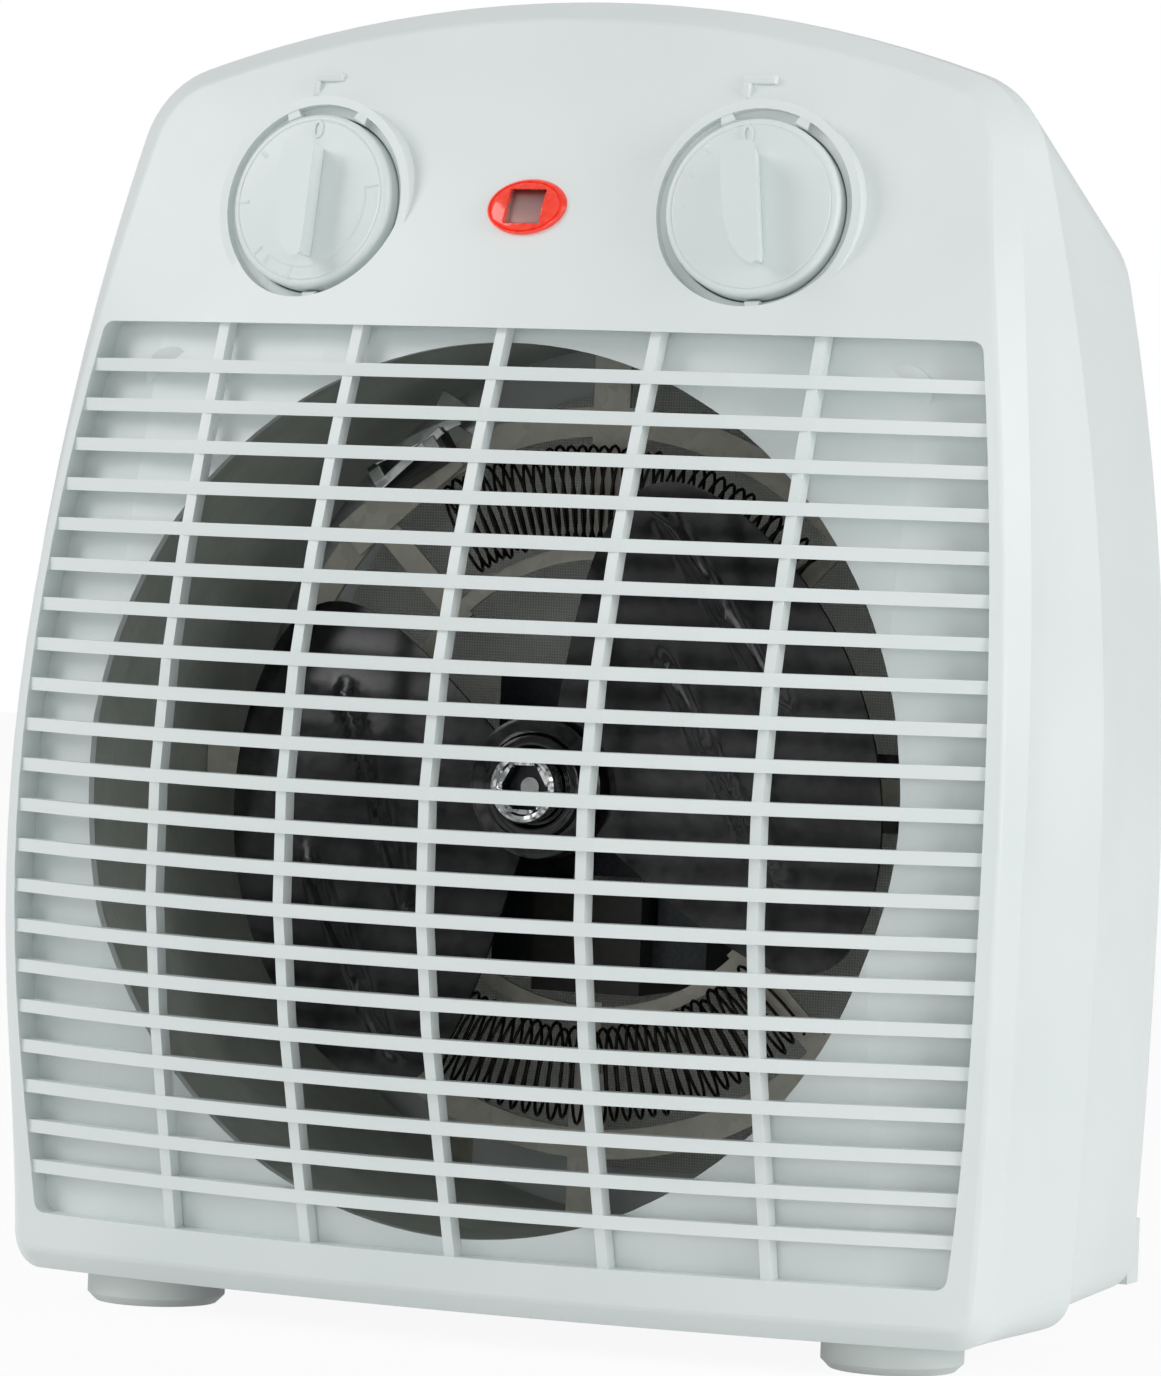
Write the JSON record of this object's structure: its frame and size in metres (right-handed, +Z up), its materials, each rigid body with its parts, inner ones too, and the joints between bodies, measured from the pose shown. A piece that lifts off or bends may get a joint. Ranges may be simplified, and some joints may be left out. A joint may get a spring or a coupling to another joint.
{
  "type": "fan heater",
  "caption": "Upright household fan heater with a bulged slatted front grille, a driven propeller behind it, wound heating coils, two rotary knobs and a pilot lamp.",
  "frame": {"origin": "middle of the footprint on the floor, at the centre of the bounding box in X and Y", "axes": "+Z up along the height, -Y out of the front grille, +X to the right seen from the front"},
  "size_m": [0.23, 0.1243, 0.266],
  "materials": {
    "white_casing": "moulded, satin gloss",
    "white_foot": "moulded",
    "white_knob": "moulded, satin gloss",
    "duct_sheet": "mill finish",
    "fan_sheet": "polished",
    "bright_steel": "plated",
    "laminations": "varnished",
    "copper_winding": "enamelled wire under tape",
    "zinc_plate": "zinc plated",
    "bronze": "sintered",
    "resistance_wire": "drawn",
    "mica": "flaky sheet",
    "control_plastic": "moulded",
    "red_lens": "clear red",
    "neon_glass": "clear",
    "terminal_plastic": "moulded",
    "black_rubber": "moulded"
  },
  "bodies": {
    "housing": {"front_shell": "white_casing", "rear_shell": "white_casing", "front_foot_left": "white_foot", "front_foot_right": "white_foot", "rear_foot_left": "white_foot", "rear_foot_right": "white_foot", "duct_ring": "duct_sheet", "motor_stator": "laminations", "motor_winding": "copper_winding", "front_bridge": "zinc_plate", "rear_bridge": "zinc_plate", "front_bearing": "bronze", "rear_bearing": "bronze", "motor_strap": "zinc_plate", "upper_heating_coil": "resistance_wire", "lower_heating_coil": "resistance_wire", "heater_frame": "mica", "thermostat_body": "control_plastic", "rotary_switch_body": "control_plastic", "lamp_lens": "red_lens", "neon_lamp": "neon_glass", "terminal_block": "terminal_plastic", "cord_bush": "black_rubber", "casing_screws": "bright_steel"},
    "fan": {"fan_propeller": "fan_sheet", "fan_nut": "bright_steel", "motor_shaft": "bright_steel", "motor_rotor": "laminations"},
    "thermostat_dial": {"thermostat_knob": "white_knob", "thermostat_spindle": "control_plastic"},
    "switch_dial": {"rotary_switch_knob": "white_knob", "rotary_switch_spindle": "control_plastic"}
  },
  "joints": [
    {"name": "fan_spin", "type": "hinge", "parent": "housing", "child": "fan", "pos_m": [0, -0.0065, 0.109], "axis": [0, 1, 0], "continuous": true},
    {"name": "thermostat_turn", "type": "hinge", "parent": "housing", "child": "thermostat_dial", "pos_m": [-0.0478, -0.022, 0.224], "axis": [0.0687, 0.9824, -0.1736], "range_deg": [0, 270]},
    {"name": "switch_turn", "type": "hinge", "parent": "housing", "child": "switch_dial", "pos_m": [0.0478, -0.022, 0.224], "axis": [-0.0687, 0.9824, -0.1736], "range_deg": [0, 90]}
  ]
}
